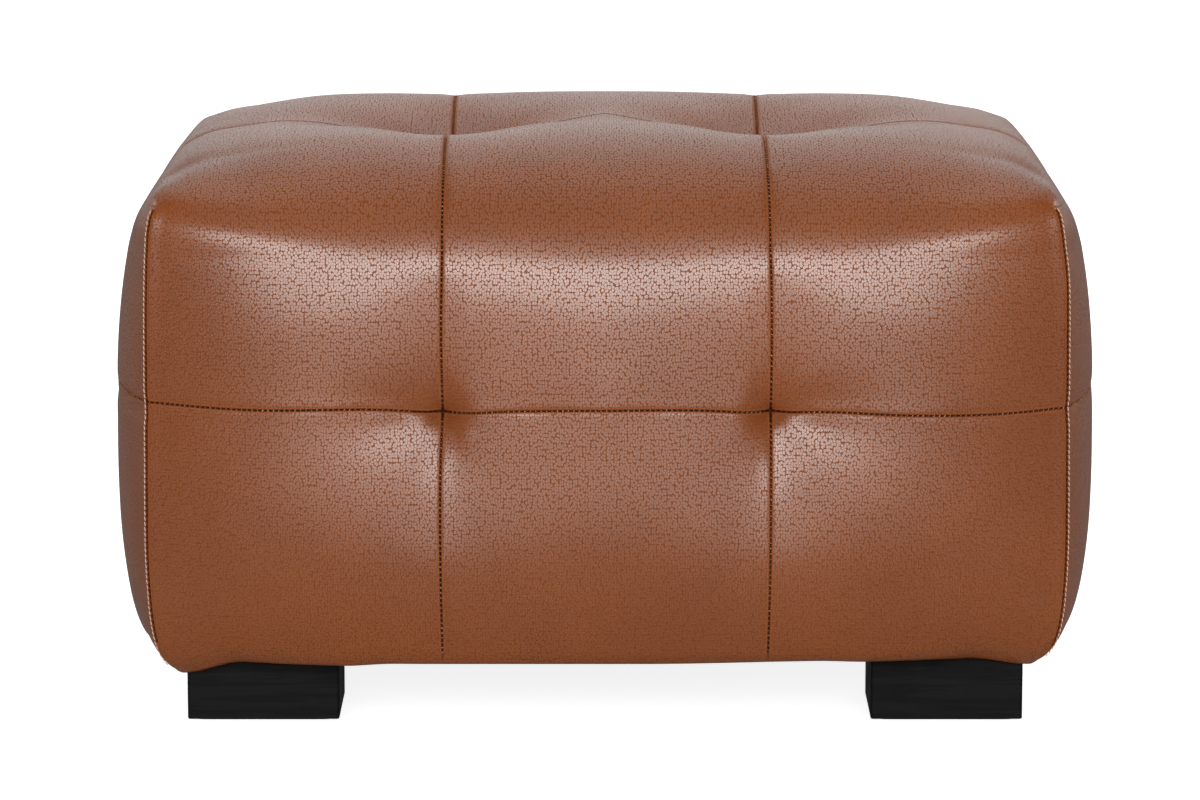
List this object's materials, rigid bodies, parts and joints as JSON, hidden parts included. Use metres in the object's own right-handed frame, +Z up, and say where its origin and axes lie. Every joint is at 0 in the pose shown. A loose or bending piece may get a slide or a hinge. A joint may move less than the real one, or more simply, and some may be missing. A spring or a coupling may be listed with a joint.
{
  "type": "footstool",
  "caption": "Upholstered leather footstool with tufted, channelled cushions over a sprung wooden frame, standing on low block feet.",
  "frame": {"origin": "on the floor, under the centre of the footstool", "axes": "+Z up, +X along the long side to the right, the front towards -Y"},
  "size_m": [0.8132, 0.6126, 0.476],
  "materials": {
    "tan_leather": "soft pebbled, satin",
    "white_fibre": "loose fibre",
    "foam": "open-cell foam",
    "hessian": "coarse weave",
    "black_cloth": "thin non-woven",
    "frame_wood": "sawn",
    "hardboard": "smooth",
    "steel": "drawn",
    "cord": "twisted",
    "black_plastic": "moulded",
    "black_wood": "black stain, faint grain",
    "felt": "pressed"
  },
  "bodies": {
    "root": {"back_foam": "foam", "backer_back": "hardboard", "backer_front": "hardboard", "backer_left": "hardboard", "backer_right": "hardboard", "bottom_rail_back": "frame_wood", "bottom_rail_front": "frame_wood", "bottom_rail_left": "frame_wood", "bottom_rail_right": "frame_wood", "corner_post_back_left": "frame_wood", "corner_post_back_right": "frame_wood", "corner_post_front_left": "frame_wood", "corner_post_front_right": "frame_wood", "cover_staples": "steel", "dust_cover": "black_cloth", "fibre_wrap": "white_fibre", "foot_back_left": "black_wood", "foot_back_right": "black_wood", "foot_bolts": "steel", "foot_front_left": "black_wood", "foot_front_right": "black_wood", "foot_inserts": "steel", "foot_pads": "felt", "frame_dowels": "frame_wood", "frame_screws": "steel", "front_foam": "foam", "left_foam": "foam", "lower_panel_back_left": "tan_leather", "lower_panel_back_middle": "tan_leather", "lower_panel_back_right": "tan_leather", "lower_panel_front_left": "tan_leather", "lower_panel_front_middle": "tan_leather", "lower_panel_front_right": "tan_leather", "lower_panel_left_back": "tan_leather", "lower_panel_left_front": "tan_leather", "lower_panel_right_back": "tan_leather", "lower_panel_right_front": "tan_leather", "right_foam": "foam", "spring_clips": "steel", "spring_cover": "hessian", "top_foam": "foam", "top_rail_back": "frame_wood", "top_rail_front": "frame_wood", "top_rail_left": "frame_wood", "top_rail_right": "frame_wood", "tuft_anchors": "black_plastic", "tuft_cords": "cord", "upper_panel_back_left": "tan_leather", "upper_panel_back_middle": "tan_leather", "upper_panel_back_right": "tan_leather", "upper_panel_front_left": "tan_leather", "upper_panel_front_middle": "tan_leather", "upper_panel_front_right": "tan_leather", "zigzag_springs": "steel"}
  },
  "joints": []
}
